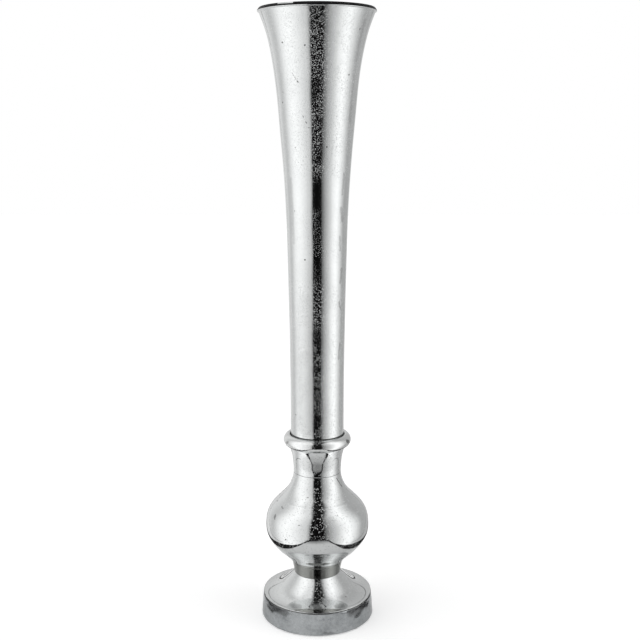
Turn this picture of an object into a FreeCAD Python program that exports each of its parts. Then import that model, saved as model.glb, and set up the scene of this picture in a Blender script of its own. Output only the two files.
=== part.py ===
import FreeCAD
import Part

import math
import os

# Trumpet vase in cast aluminium: a turned pedestal clamped on a tie rod, and a flared
# trumpet that screws down into the collar at its top. Lengths in millimetres, +Z up,
# origin on the floor at the middle of the foot.

V = FreeCAD.Vector

# Felt pads under the plinth
pad_count = 4
pad_thickness = 1.5
pad_radius = 5.5

# Plinth: heavy tapered casting, hollow and ribbed underneath
plinth_height = 37.5
plinth_foot_radius = 94.9
plinth_top_radius = 91.9
plinth_wall = 14.5
plinth_draft = 3.0
plinth_roof = 9.0
plinth_foot_round = 2.0
plinth_top_round = 0.9
plinth_boss_radius = 24.0
plinth_boss_drop = 4.0
plinth_rib_count = 6
plinth_rib_width = 5.0
plinth_rib_depth = 11.0
plinth_register_height = 2.0

# Foot dish: concave flare on the plinth, a shell with a flat land on top for the stem
dish_height = 36.0
dish_rim_radius = 91.6
dish_top_radius = 38.6
dish_rim_thickness = 1.7
dish_edge_break = 0.5
dish_sweep_radius = 55.0
dish_wall = 4.0
dish_land_thickness = 7.0

# Turned stem between the dish and the bulb
stem_height = 25.0
stem_foot_radius = 39.1
stem_top_radius = 48.95
stem_bore_radius = 24.0
stem_foot_spigot_radius = 30.0
stem_foot_spigot_length = 5.0
stem_top_spigot_radius = 38.0
stem_top_spigot_length = 5.0
stem_foot_lean = 15.0

# Bulb: hollow casting, swelling from the stem and drawn in again to the waist
bulb_height = 153.0
bulb_radius = 86.3
bulb_wall = 5.0
bulb_base_thickness = 7.0
bulb_foot_lean = 32.3
bulb_lower_shares = ((0.117, 0.425), (0.419, 1.0))
bulb_upper_shares = ((0.686, 0.581), (0.889, 0.08), (1.0, 0.0))

# Neck: sleeve that opens upward from the waist, with a deck inside for the clamp load
neck_height = 45.0
neck_foot_radius = 39.45
neck_top_radius = 46.6
neck_bore_radius = 30.0
neck_foot_lean = -1.1
neck_spigot_length = 7.0
neck_deck_rise = 7.0
neck_deck_thickness = 8.0

# Collar ring: half-round bead on the deck's rim, open upward round the trumpet
collar_section_radius = 10.6
collar_land = 0.2
collar_gap = 1.2

# Trumpet shell: straight tube, long flare and a rounded lip
trumpet_length = 693.3
trumpet_radius = 43.9
trumpet_wall = 2.5
tube_length = 123.3
rim_radius = 92.6
lip_thickness = 3.5
lip_overhang = 1.2
flare_shares = ((0.459, 0.133), (0.812, 0.451), (1.0, 1.0))

# Trumpet floor: turned plug in the tube, with a hub for the threaded insert
floor_thickness = 6.0
hub_radius = 18.0
hub_height = 14.0
nut_headroom = 2.5

# Threaded insert: blind bush with a flange, screwed on the end of the tie rod
insert_barrel_radius = 10.0
insert_flange_radius = 14.0
insert_flange_thickness = 3.0
insert_cap_wall = 4.0
insert_cap_round = 3.0
arc_drop_share = 1 - math.sqrt(0.5)
thread_engagement = 24.5
rod_end_gap = 1.0

# Tie rod and its fasteners, M12
rod_radius = 6.0
rod_tail = 2.2
rod_end_chamfer = 1.0
nut_width = 18.0
base_nut_height = 10.8
deck_nut_height = 6.0
nut_corner_share = 0.97
nut_chamfer_share = 0.12
base_washer_radius = 18.5
base_washer_thickness = 3.0
lock_washer_radius = 10.5
lock_washer_thickness = 2.5
lock_washer_slot = 2.0
lock_washer_slant = 25.0
slot_height_share = 3.0
deck_washer_radius = 12.0
deck_washer_thickness = 2.5

# Fibre ring that the foot of the trumpet tightens down on
seat_washer_thickness = 1.5
seat_washer_width = 8.0
seat_washer_inset = 0.5

# Clearances, the overrun of every cut, and the bow below which an arc is a straight line
running_clearance = 0.05
register_clearance = 0.15
rod_hole_clearance = 0.8
seat_gap = 0.2
overrun = 1.0
straight_share = 0.001

# Heights of the joints, stacked from the floor
plinth_foot_z = pad_thickness
plinth_top_z = plinth_foot_z + plinth_height
dish_top_z = plinth_top_z + dish_height
stem_top_z = dish_top_z + stem_height
bulb_top_z = stem_top_z + bulb_height
neck_shoulder_z = bulb_top_z + neck_height
deck_top_z = neck_shoulder_z + neck_deck_rise
seat_top_z = deck_top_z + seat_washer_thickness
trumpet_foot_z = seat_top_z + seat_gap
trumpet_top_z = trumpet_foot_z + trumpet_length
rod_hole_radius = rod_radius + rod_hole_clearance
collar_bore_radius = trumpet_radius + collar_gap


def line(start, end):
    """Straight edge between two (radius, height) points of a turned profile."""
    return Part.LineSegment(V(start[0], 0, start[1]), V(end[0], 0, end[1])).toShape()


def polyline(points):
    """Straight edges through a row of (radius, height) points."""
    return [line(start, end) for start, end in zip(points, points[1:])]


def arc(start, middle, end):
    """Circular edge through three (radius, height) points."""
    corners = [V(point[0], 0, point[1]) for point in (start, middle, end)]
    return Part.Arc(*corners).toShape()


def tangent_arcs(points, lean=0):
    """Arcs through (radius, height) points, each leaving the last one without a corner.

    The first arc starts at an angle of lean degrees outward from upright. An arc's middle
    stands off its chord by half the chord times the tangent of half the angle between them.
    """
    heading = V(math.sin(math.radians(lean)), 0, math.cos(math.radians(lean)))
    edges = []
    for start, end in zip(points, points[1:]):
        chord = V(end[0] - start[0], 0, end[1] - start[1])
        along = V(chord).normalize()
        bow = heading - along * heading.dot(along)
        if bow.Length < straight_share:
            edges.append(line(start, end))
        else:
            rise = chord.Length / 2 * math.tan(heading.getAngle(along) / 2)
            middle = V(start[0], 0, start[1]) + chord * 0.5 + V(bow).normalize() * rise
            edges.append(arc(start, (middle.x, middle.z), end))
        heading = along * (2 * heading.dot(along)) - heading
    return edges


def turn(edges):
    """Solid of revolution about the vertical axis from the closed chain of edges."""
    face = Part.Face(Part.Wire(Part.sortEdges(edges)[0]))
    return face.revolve(V(0, 0, 0), V(0, 0, 1), 360)


def disc(radius, bottom, top):
    """Upright cylinder on the axis between two heights."""
    return Part.makeCylinder(radius, top - bottom, V(0, 0, bottom))


def ring(outer, inner, bottom, top):
    """Flat-ended ring on the axis."""
    return disc(outer, bottom, top).cut(disc(inner, bottom - overrun, top + overrun))


def swell(shares, base, height, foot_radius, full_radius):
    """Profile points from rows of (height share, share of the swell from foot to full radius)."""
    rise = full_radius - foot_radius
    return [(foot_radius + rise * out, base + height * up) for up, out in shares]


def foot_edge(shape):
    """Lowest edge of a plain turned blank, for rounding or chamfering it."""
    return min(shape.Edges, key=lambda edge: edge.CenterOfMass.z)


def head_edge(shape):
    """Highest edge of a plain turned blank."""
    return max(shape.Edges, key=lambda edge: edge.CenterOfMass.z)


def dish_sweep_centre():
    """Centre of the dish's concave arc, outside and above its chord."""
    top = V(dish_top_radius, 0, dish_top_z)
    rim = V(dish_rim_radius - dish_edge_break, 0, plinth_top_z + dish_rim_thickness)
    chord = rim - top
    reach = math.sqrt(max(dish_sweep_radius ** 2 - (chord.Length / 2) ** 2, 0))
    outward = V(-chord.z, 0, chord.x)
    outward.normalize()
    return (top + rim) * 0.5 + outward * reach, top, rim


def dish_cavity_radius(height):
    """Radius of the dish's inner wall at a height, one wall thickness behind the arc."""
    centre, _, _ = dish_sweep_centre()
    sweep = dish_sweep_radius + dish_wall
    return centre.x - math.sqrt(max(sweep ** 2 - (height - centre.z) ** 2, 0))


def plinth():
    """Tapered disc with a drafted hollow, a clamp boss, ribs and a register for the dish."""
    roof_z = plinth_top_z - plinth_roof
    boss_z = roof_z - plinth_boss_drop
    mouth = plinth_foot_radius - plinth_wall
    body = Part.makeCone(plinth_foot_radius, plinth_top_radius, plinth_height, V(0, 0, plinth_foot_z))
    body = body.makeFillet(plinth_foot_round, [foot_edge(body)])
    body = body.makeFillet(plinth_top_round, [head_edge(body)])
    hollow = turn(polyline([
        (0, plinth_foot_z - overrun), (mouth, plinth_foot_z - overrun), (mouth, plinth_foot_z),
        (mouth - plinth_draft, roof_z), (0, roof_z), (0, plinth_foot_z - overrun),
    ]))
    body = body.cut(hollow).fuse(disc(plinth_boss_radius, boss_z, roof_z))
    ribs = []
    for index in range(plinth_rib_count):
        rib = Part.makeBox(mouth, plinth_rib_width, plinth_rib_depth,
                           V(0, -plinth_rib_width / 2, roof_z - plinth_rib_depth))
        rib = rib.cut(disc(plinth_boss_radius, roof_z - plinth_rib_depth - overrun, roof_z + overrun))
        rib.rotate(V(0, 0, 0), V(0, 0, 1), 360 * index / plinth_rib_count)
        ribs.append(rib)
    register_top = plinth_top_z + plinth_register_height
    register = disc(dish_cavity_radius(register_top) - register_clearance, plinth_top_z, register_top)
    body = body.fuse(ribs + [register]).removeSplitter()
    return body.cut(disc(rod_hole_radius, boss_z - overrun, register_top + overrun))


def felt_pads():
    """Four felt discs on the underside of the plinth's wall."""
    inner = plinth_foot_radius - plinth_wall
    outer = plinth_foot_radius - plinth_foot_round
    middle = (inner + outer) / 2
    pads = []
    for index in range(pad_count):
        turn_angle = math.radians(360 * (index + 0.5) / pad_count)
        spot = V(middle * math.cos(turn_angle), middle * math.sin(turn_angle), 0)
        pads.append(Part.makeCylinder(pad_radius, pad_thickness, spot))
    return Part.makeCompound(pads)


def foot_dish():
    """Concave flare of even wall, with a thick land on top and a thin broken rim edge."""
    centre, top, rim = dish_sweep_centre()
    rim_z = plinth_top_z + dish_rim_thickness
    land_z = dish_top_z - dish_land_thickness
    cavity_sweep = dish_sweep_radius + dish_wall
    inner_foot_radius = dish_cavity_radius(plinth_top_z)
    outer_middle = centre + ((top + rim) * 0.5 - centre).normalize() * dish_sweep_radius
    inner_top = (dish_cavity_radius(land_z), land_z)
    chord_middle = V((inner_top[0] + inner_foot_radius) / 2, 0, (land_z + plinth_top_z) / 2)
    inner_middle = centre + (chord_middle - centre).normalize() * cavity_sweep
    socket_radius = stem_foot_spigot_radius + register_clearance
    socket_z = dish_top_z - stem_foot_spigot_length - register_clearance
    profile = [
        arc((top.x, top.z), (outer_middle.x, outer_middle.z), (rim.x, rim.z)),
    ]
    profile += polyline([
        (dish_rim_radius - dish_edge_break, rim_z), (dish_rim_radius, rim_z - dish_edge_break),
        (dish_rim_radius, plinth_top_z + dish_edge_break), (dish_rim_radius - dish_edge_break, plinth_top_z),
        (inner_foot_radius, plinth_top_z),
    ])
    profile.append(arc((inner_foot_radius, plinth_top_z), (inner_middle.x, inner_middle.z), inner_top))
    profile += polyline([
        inner_top, (rod_hole_radius, land_z), (rod_hole_radius, socket_z), (socket_radius, socket_z),
        (socket_radius, dish_top_z), (dish_top_radius, dish_top_z),
    ])
    return turn(profile)


def turned_stem():
    """Hollow turned piece that opens upward, with a spigot at each end."""
    foot = (stem_foot_radius, dish_top_z)
    head = (stem_top_radius, stem_top_z)
    profile = tangent_arcs([foot, head], stem_foot_lean)
    profile += polyline([
        head, (stem_top_spigot_radius, stem_top_z),
        (stem_top_spigot_radius, stem_top_z + stem_top_spigot_length),
        (stem_bore_radius, stem_top_z + stem_top_spigot_length),
        (stem_bore_radius, dish_top_z - stem_foot_spigot_length),
        (stem_foot_spigot_radius, dish_top_z - stem_foot_spigot_length),
        (stem_foot_spigot_radius, dish_top_z), foot,
    ])
    return turn(profile)


def bulb_side(inset):
    """Points of the bulb's side from foot to top, moved in by a wall thickness."""
    side = [(stem_top_radius, stem_top_z)]
    side += swell(bulb_lower_shares, stem_top_z, bulb_height, stem_top_radius, bulb_radius)
    side += swell(bulb_upper_shares, stem_top_z, bulb_height, neck_foot_radius, bulb_radius)
    return [(radius - inset, height) for radius, height in side]


def bulb():
    """Hollow casting with a floor that sits on the stem and an open top for the neck."""
    outer = bulb_side(0)
    inner = bulb_side(bulb_wall)
    hollow = turn(tangent_arcs(inner, bulb_foot_lean) + polyline([
        inner[-1], (inner[-1][0], bulb_top_z + overrun), (0, bulb_top_z + overrun),
        (0, stem_top_z), inner[0],
    ]))
    base_z = stem_top_z + bulb_base_thickness
    hollow = hollow.cut(disc(bulb_radius + overrun, stem_top_z - overrun, base_z))
    rim = polyline([outer[-1], (0, bulb_top_z), (0, stem_top_z), outer[0]])
    body = turn(tangent_arcs(outer, bulb_foot_lean) + rim)
    socket_radius = stem_top_spigot_radius + register_clearance
    socket_top = stem_top_z + stem_top_spigot_length + register_clearance
    body = body.cut(hollow).cut(disc(socket_radius, stem_top_z - overrun, socket_top))
    return body.cut(disc(rod_hole_radius, stem_top_z, base_z + overrun))


def neck():
    """Sleeve: spigot below in the bulb, clamp deck and collar spigot above."""
    foot_z = bulb_top_z
    side = [(neck_foot_radius, foot_z), (neck_top_radius, neck_shoulder_z)]
    spigot_radius = neck_foot_radius - bulb_wall - register_clearance
    deck_radius = collar_bore_radius - register_clearance
    deck_foot_z = deck_top_z - neck_deck_thickness
    profile = tangent_arcs(side, neck_foot_lean)
    profile += polyline([
        side[-1], (deck_radius, neck_shoulder_z), (deck_radius, deck_top_z),
        (rod_hole_radius, deck_top_z), (rod_hole_radius, deck_foot_z), (neck_bore_radius, deck_foot_z),
        (neck_bore_radius, foot_z - neck_spigot_length), (spigot_radius, foot_z - neck_spigot_length),
        (spigot_radius, foot_z), side[0],
    ])
    return turn(profile)


def collar_ring():
    """Half-round bead with a plain bore, standing on the neck's shoulder."""
    middle_z = neck_shoulder_z + collar_section_radius
    top_z = middle_z + collar_section_radius
    land_radius = collar_bore_radius + collar_land
    profile = [arc((land_radius, neck_shoulder_z), (land_radius + collar_section_radius, middle_z),
                   (land_radius, top_z))]
    profile += polyline([
        (land_radius, top_z), (collar_bore_radius, top_z),
        (collar_bore_radius, neck_shoulder_z), (land_radius, neck_shoulder_z),
    ])
    return turn(profile)


def trumpet_shell():
    """Thin tube and flare of one wall, closed at the rim by a rounded lip."""
    lip_radius = lip_thickness / 2
    flare_foot_z = trumpet_foot_z + tube_length
    flare_top_z = trumpet_top_z - lip_thickness
    flare_height = flare_top_z - flare_foot_z
    flare_end = rim_radius - lip_overhang
    outer = [(trumpet_radius, flare_foot_z)]
    outer += swell(flare_shares, flare_foot_z, flare_height, trumpet_radius, flare_end)
    inner = [(radius - trumpet_wall, height) for radius, height in outer]
    lip_middle = (rim_radius - lip_radius, trumpet_top_z - lip_radius)
    lip_start = (rim_radius, lip_middle[1])
    lip_crest = (lip_middle[0], trumpet_top_z)
    lip_end = (rim_radius - lip_thickness, lip_middle[1])
    bore = trumpet_radius - trumpet_wall
    profile = tangent_arcs(outer) + [line(outer[-1], lip_start)]
    profile += [arc(lip_start, lip_crest, lip_end), line(lip_end, inner[-1])]
    profile += tangent_arcs(inner)
    profile += polyline([inner[0], (bore, trumpet_foot_z), (trumpet_radius, trumpet_foot_z), outer[0]])
    return turn(profile)


def trumpet_floor():
    """Turned plug across the tube with a taller hub and a plain bore for the insert."""
    bottom = plug_bottom_z
    bore = insert_barrel_radius + running_clearance
    plug = disc(trumpet_radius - trumpet_wall, bottom, bottom + floor_thickness)
    plug = plug.fuse(disc(hub_radius, bottom, bottom + hub_height)).removeSplitter()
    return plug.cut(disc(bore, bottom - overrun, bottom + hub_height + overrun))


def thread_insert():
    """Blind bush: barrel in the hub, flange over it, domed cap round the end of the rod."""
    flange_z = plug_bottom_z + hub_height + seat_gap
    flange_top = flange_z + insert_flange_thickness
    cap_top = rod_top_z + rod_end_gap + insert_cap_wall
    bore = rod_radius + running_clearance
    round_drop = insert_cap_round * arc_drop_share
    round_middle = (insert_barrel_radius - round_drop, cap_top - round_drop)
    profile = polyline([
        (bore, plug_bottom_z), (insert_barrel_radius, plug_bottom_z), (insert_barrel_radius, flange_z),
        (insert_flange_radius, flange_z), (insert_flange_radius, flange_top),
        (insert_barrel_radius, flange_top), (insert_barrel_radius, cap_top - insert_cap_round),
    ])
    profile.append(arc((insert_barrel_radius, cap_top - insert_cap_round), round_middle,
                       (insert_barrel_radius - insert_cap_round, cap_top)))
    profile += polyline([
        (insert_barrel_radius - insert_cap_round, cap_top), (0, cap_top),
        (0, rod_top_z + rod_end_gap), (bore, rod_top_z + rod_end_gap), (bore, plug_bottom_z),
    ])
    return turn(profile)


def tie_rod():
    """Plain rod at the thread's outside diameter, chamfered at both ends."""
    rod = disc(rod_radius, rod_bottom_z, rod_top_z)
    return rod.makeChamfer(rod_end_chamfer, [foot_edge(rod), head_edge(rod)])


def hex_nut(bottom, height):
    """Hexagon nut on the axis with its corners turned down at both faces."""
    corner = nut_width / math.sqrt(3)
    drop = corner * nut_chamfer_share
    points = []
    for index in range(7):
        angle = math.radians(60 * index)
        points.append(V(corner * math.cos(angle), corner * math.sin(angle), bottom))
    prism = Part.Face(Part.makePolygon(points)).extrude(V(0, 0, height))
    full = corner * nut_corner_share
    blank = turn(polyline([
        (0, bottom), (full - drop, bottom), (full, bottom + drop / 2), (full, bottom + height - drop / 2),
        (full - drop, bottom + height), (0, bottom + height), (0, bottom),
    ]))
    bore = disc(rod_radius + running_clearance, bottom - overrun, bottom + height + overrun)
    return prism.common(blank).cut(bore)


def lock_washer():
    """Spring washer: a ring with one slanted slot through it."""
    body = ring(lock_washer_radius, rod_radius + register_clearance, lock_washer_z, base_washer_z)
    middle_z = (lock_washer_z + base_washer_z) / 2
    slot_height = lock_washer_thickness * slot_height_share
    slot = Part.makeBox(lock_washer_radius + overrun, lock_washer_slot, slot_height,
                        V(0, -lock_washer_slot / 2, middle_z - slot_height / 2))
    slot.rotate(V(0, 0, middle_z), V(1, 0, 0), lock_washer_slant)
    return body.cut(slot)


# Clamp stack under the plinth, and the stack on the deck
base_washer_top_z = plinth_top_z - plinth_roof - plinth_boss_drop
base_washer_z = base_washer_top_z - base_washer_thickness
lock_washer_z = base_washer_z - lock_washer_thickness
base_nut_z = lock_washer_z - base_nut_height
rod_bottom_z = base_nut_z - rod_tail
deck_nut_z = deck_top_z + deck_washer_thickness
plug_bottom_z = deck_nut_z + deck_nut_height + nut_headroom
rod_top_z = plug_bottom_z + thread_engagement
seat_outer = trumpet_radius - seat_washer_inset
rod_loose_radius = rod_radius + register_clearance

pieces = {
    "felt_pads": felt_pads(),
    "plinth": plinth(),
    "foot_dish": foot_dish(),
    "turned_stem": turned_stem(),
    "bulb": bulb(),
    "neck": neck(),
    "collar_ring": collar_ring(),
    "tie_rod": tie_rod(),
    "base_washer": ring(base_washer_radius, rod_loose_radius, base_washer_z, base_washer_top_z),
    "lock_washer": lock_washer(),
    "base_nut": hex_nut(base_nut_z, base_nut_height),
    "deck_washer": ring(deck_washer_radius, rod_loose_radius, deck_top_z, deck_nut_z),
    "deck_nut": hex_nut(deck_nut_z, deck_nut_height),
    "seat_washer": ring(seat_outer, seat_outer - seat_washer_width, deck_top_z, seat_top_z),
    "thread_insert": thread_insert(),
    "trumpet_floor": trumpet_floor(),
    "trumpet_shell": trumpet_shell(),
}

os.makedirs("parts", exist_ok=True)
for name, shape in pieces.items():
    shape.exportStep("parts/" + name + ".step")
    print(name, len(shape.Solids), shape.isValid(), round(shape.Volume))
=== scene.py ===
import math

import bmesh
import bpy
import numpy as np
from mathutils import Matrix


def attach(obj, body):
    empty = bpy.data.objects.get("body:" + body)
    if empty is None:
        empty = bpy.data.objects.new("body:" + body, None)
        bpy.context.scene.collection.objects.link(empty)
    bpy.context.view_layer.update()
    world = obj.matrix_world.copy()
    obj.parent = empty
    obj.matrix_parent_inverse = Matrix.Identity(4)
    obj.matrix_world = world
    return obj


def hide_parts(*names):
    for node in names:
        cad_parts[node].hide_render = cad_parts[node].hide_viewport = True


# Trumpet vase of polished cast aluminium: a pedestal of turned castings clamped on a tie
# rod, and a long flared trumpet that screws down into the collar at the pedestal's top.
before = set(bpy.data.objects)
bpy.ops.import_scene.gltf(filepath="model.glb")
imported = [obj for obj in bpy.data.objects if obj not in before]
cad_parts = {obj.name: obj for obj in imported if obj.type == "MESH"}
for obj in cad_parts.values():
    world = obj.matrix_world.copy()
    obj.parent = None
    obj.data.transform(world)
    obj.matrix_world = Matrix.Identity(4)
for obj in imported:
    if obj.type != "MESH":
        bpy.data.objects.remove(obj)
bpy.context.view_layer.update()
mm = 0.001

# ---------------------------------------------------------------- camera
# A tripod a little over a metre and a half away, lens at four fifths of the vase's height,
# tilted down so that the rim and the foot both fill the picture.
camera_place = (0.0046, -1.6239, 0.8185)
camera_tilt = 10.7554
camera_lens = 56.914
sensor_width = 36.0

camera_data = bpy.data.cameras.new("tripod_camera")
camera_data.lens = camera_lens
camera_data.sensor_width = sensor_width
camera = bpy.data.objects.new("tripod_camera", camera_data)
camera.location = camera_place
camera.rotation_euler = (math.radians(90 - camera_tilt), 0, 0)
bpy.context.scene.collection.objects.link(camera)
bpy.context.scene.camera = camera
bpy.context.scene.view_settings.view_transform = "Standard"

# ---------------------------------------------------------------- light tent
# White cloth round the table with a soft lamp behind each side, a slot in front for the
# lens and a gap overhead from front to back. Levels are shares of white, by degrees round
# the tent from the slot, and a dark seam runs up the cloth behind on each side. The camera
# itself sees plain white behind the vase.
tent_levels = (
    (-180, 0.70), (-142, 0.97), (-115, 0.80), (-92, 1.36), (-66, 1.52), (-38, 1.14), (-24, 0.88),
    (-19, 0.52), (-15, 0.04), (-9, 0.01), (9, 0.01), (15, 0.03), (20, 0.24), (27, 0.47), (52, 1.10),
    (68, 1.50), (84, 1.44), (110, 0.70), (130, 0.56), (180, 0.70),
)
tent_full_level = 1.6
overhead_from = 54.0
overhead_to = 67.0
overhead_gap_level = 0.012
overhead_left = (0.09, 0.24, 1.10)
overhead_right = (0.15, 0.45, 1.30)
seam_foot = 0.50
seam_slope = 0.58
seam_half_width = 0.012
seam_level = 0.15


def add(tree, kind, **settings):
    """New shader node. Lower-case names set its properties, the others its inputs.

    An input given a socket is linked to it, and one given a value is set to it.
    """
    made = tree.nodes.new("ShaderNode" + kind)
    for name, value in settings.items():
        if name[0].islower():
            setattr(made, name, value)
    for name, value in settings.items():
        if not name[0].islower():
            connect(tree, made.inputs[name.replace("_", " ")], value)
    return made


def connect(tree, socket, value):
    """Links a socket to the value if that is a socket, and otherwise sets it."""
    if isinstance(value, bpy.types.NodeSocket):
        tree.links.new(value, socket)
    else:
        socket.default_value = value


def maths(tree, operation, *values, clamp=False):
    """Result of one Math node on up to three sockets or numbers."""
    made = add(tree, "Math", operation=operation, use_clamp=clamp)
    for socket, value in zip(made.inputs, values):
        connect(tree, socket, value)
    return made.outputs[0]


def ramp(tree, value, low, high, start=0.0, end=1.0, smooth=True):
    """Start below low, end above high, and an even or smooth change between them."""
    kind = "SMOOTHSTEP" if smooth else "LINEAR"
    made = add(tree, "MapRange", interpolation_type=kind, Value=value, From_Min=low, From_Max=high,
               To_Min=start, To_Max=end)
    return made.outputs[0]


world = bpy.data.worlds.new("light_tent")
bpy.context.scene.world = world
world.use_nodes = True
tree = world.node_tree
tree.nodes.clear()
way = add(tree, "SeparateXYZ", Vector=add(tree, "TexCoord").outputs["Generated"])
side, ahead, up = way.outputs
turn_share = ramp(tree, maths(tree, "ARCTAN2", side, maths(tree, "MULTIPLY", ahead, -1.0)),
                  -math.pi, math.pi, smooth=False)
cloth = tree.nodes.new("ShaderNodeValToRGB")
cloth.color_ramp.interpolation = "CARDINAL"
while len(cloth.color_ramp.elements) < len(tent_levels):
    cloth.color_ramp.elements.new(0.5)
for stop, (degrees, level) in zip(cloth.color_ramp.elements, tent_levels):
    stop.position = (degrees + 180) / 360
    stop.color = (level / tent_full_level,) * 3 + (1,)
tree.links.new(turn_share, cloth.inputs[0])
climb = maths(tree, "DEGREES", maths(tree, "ARCSINE", up))
cloth_level = maths(tree, "MULTIPLY", cloth.outputs[0], tent_full_level)
left_cloth = ramp(tree, maths(tree, "MULTIPLY", side, -1.0), overhead_left[0], overhead_left[1],
                  overhead_gap_level, overhead_left[2])
right_cloth = ramp(tree, side, overhead_right[0], overhead_right[1], overhead_gap_level,
                   overhead_right[2])
overhead = maths(tree, "MAXIMUM", left_cloth, right_cloth)
tent_light = ramp(tree, climb, overhead_from, overhead_to, cloth_level, overhead)
seam_place = maths(tree, "ADD", maths(tree, "ABSOLUTE", side), maths(tree, "MULTIPLY", up, seam_slope))
off_seam = maths(tree, "ABSOLUTE", maths(tree, "SUBTRACT", seam_place, seam_foot))
on_seam = ramp(tree, off_seam, seam_half_width * 0.5, seam_half_width, 1.0, 0.0)
on_seam = maths(tree, "MULTIPLY", on_seam, maths(tree, "GREATER_THAN", ahead, 0.0))
tent_light = ramp(tree, on_seam, 0.0, 1.0, tent_light, seam_level)
to_camera = add(tree, "LightPath").outputs["Is Camera Ray"]
seen = add(tree, "MixRGB", Fac=to_camera, Color1=tent_light, Color2=(1, 1, 1, 1))
background = add(tree, "Background", Color=seen.outputs[0])
tree.links.new(background.outputs[0], add(tree, "OutputWorld").inputs["Surface"])

# ---------------------------------------------------------------- table
# A pale floor, and on it the white board that the vase stands on, glowing a little and painted with
# shade towards its front, and round it a dark band of painted shade. Only the metal's reflections show the
# board; the camera sees a plain pale floor with a shadow.
floor_reach = 8.0
floor_shade = 0.80
floor_lift = 0.44
board_lift = 0.2 * mm
board_glow = 0.16
board_shade_from = -0.56
board_shade_to = -0.34
board_shade = 0.30
board_outline = (
    (0.180, 3.000), (0.182, 0.250), (0.184, 0.087), (0.182, 0.000), (0.182, -0.074),
    (0.190, -0.147), (0.206, -0.240), (0.214, -0.360), (0.212, -0.440), (0.190, -0.515),
    (0.140, -0.560), (0.060, -0.580), (-0.060, -0.580), (-0.130, -0.560), (-0.175, -0.515),
    (-0.198, -0.440), (-0.203, -0.360), (-0.200, -0.288), (-0.190, -0.152), (-0.186, -0.092),
    (-0.186, -0.020), (-0.190, 0.066), (-0.186, 0.142), (-0.182, 0.250), (-0.180, 3.000),
)
# Widths of the dark band round the board: painted shade standing for the unlit floor beyond it.
shade_band_widths = (
    0.080, 0.080, 0.085, 0.085, 0.085, 0.060, 0.036, 0.028, 0.042, 0.070,
    0.080, 0.080, 0.080, 0.080, 0.070, 0.042, 0.028, 0.032, 0.055, 0.080,
    0.085, 0.085, 0.085, 0.080, 0.080,
)
shade_band_lift = 1.5 * board_lift
shade_band_colour = (0.02, 0.02, 0.02, 1)


def flat_sheet(name, corners, faces):
    """Level sheet facing up, from its corners in metres and its faces' corner numbers."""
    data = bpy.data.meshes.new(name)
    data.from_pydata(corners, [], faces)
    sheet = bpy.data.objects.new(name, data)
    bpy.context.scene.collection.objects.link(sheet)
    return sheet


def flat_band(name, outline, widths, height):
    """Closed level band: point k's two corners lie half its width to each side of the outline.

    They lie along the normal of the line from the point before to the point after.
    """
    line = np.array(outline)
    along = np.roll(line, -1, 0) - np.roll(line, 1, 0)
    across = np.stack([-along[:, 1], along[:, 0]], 1) / np.linalg.norm(along, axis=1, keepdims=True)
    across *= np.array(widths)[:, None] / 2
    corners = np.concatenate([line - across, line + across])
    corners = np.column_stack([corners, np.full(len(corners), height)])
    k = np.arange(len(line))
    on = (k + 1) % len(line)
    faces = np.stack([k, k + len(line), on + len(line), on], 1)
    return flat_sheet(name, corners.tolist(), faces.tolist())


def new_material(name):
    """Empty node material, its tree and its output node."""
    made = bpy.data.materials.new(name)
    made.use_nodes = True
    made.node_tree.nodes.clear()
    return made, made.node_tree, add(made.node_tree, "OutputMaterial")


def glowing_paint(tree, output, matt, glow):
    """Matt paint with a little light of its own."""
    both = tree.nodes.new("ShaderNodeAddShader")
    tree.links.new(matt.outputs[0], both.inputs[0])
    tree.links.new(glow.outputs[0], both.inputs[1])
    tree.links.new(both.outputs[0], output.inputs["Surface"])


floor = flat_sheet("floor", [(-floor_reach, -floor_reach, 0), (floor_reach, -floor_reach, 0),
                             (floor_reach, floor_reach, 0), (-floor_reach, floor_reach, 0)], [(0, 1, 2, 3)])
floor_paint, tree, output = new_material("floor_paint")
matt = add(tree, "BsdfDiffuse", Color=(floor_shade,) * 3 + (1,))
lift = add(tree, "Emission", Strength=maths(
    tree, "MULTIPLY", add(tree, "LightPath").outputs["Is Camera Ray"], floor_lift))
glowing_paint(tree, output, matt, lift)
floor.data.materials.append(floor_paint)
floor.visible_glossy = False

board_paint, tree, output = new_material("board_paint")
near = add(tree, "SeparateXYZ", Vector=add(tree, "TexCoord").outputs["Object"]).outputs[1]
shade = ramp(tree, near, board_shade_from, board_shade_to, board_shade, 1.0)
shaded_board_white = add(tree, "CombineColor", Red=shade, Green=shade, Blue=shade)
dimmed = add(tree, "MixRGB", blend_type="MULTIPLY", Fac=1.0, Color1=shaded_board_white.outputs[0],
             Color2=(floor_shade,) * 3 + (1,))
glowing_paint(tree, output, add(tree, "BsdfDiffuse", Color=dimmed.outputs[0]),
              add(tree, "Emission", Strength=maths(tree, "MULTIPLY", shade, board_glow)))
shade_band_paint, tree, output = new_material("board_edge_paint")
tree.links.new(add(tree, "BsdfDiffuse", Color=shade_band_colour).outputs[0], output.inputs["Surface"])
board = flat_sheet("board", [(x, y, board_lift) for x, y in board_outline[::-1]],
                   [tuple(range(len(board_outline)))])
board.data.materials.append(board_paint)
board_shade_band = flat_band("board_shade_band", board_outline, shade_band_widths, shade_band_lift)
board_shade_band.data.materials.append(shade_band_paint)
for sheet in (board, board_shade_band):
    sheet.visible_camera = False
    sheet.visible_diffuse = False
    sheet.visible_shadow = False
    sheet.visible_transmission = False

# ---------------------------------------------------------------- plinth
# Heavy sand casting of aluminium, left rough on its side and only brushed over, so it stays
# mottled and duller than the rest. It is hollow and ribbed underneath round the clamp nut.
plinth_foot_radius = 94.9
plinth_head_radius = 91.9
plinth_foot = 1.5
plinth_head = 39.0
plinth_columns = 320
wave_count = 14
ease_slope = 12
edge_angle = 32.0


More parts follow.
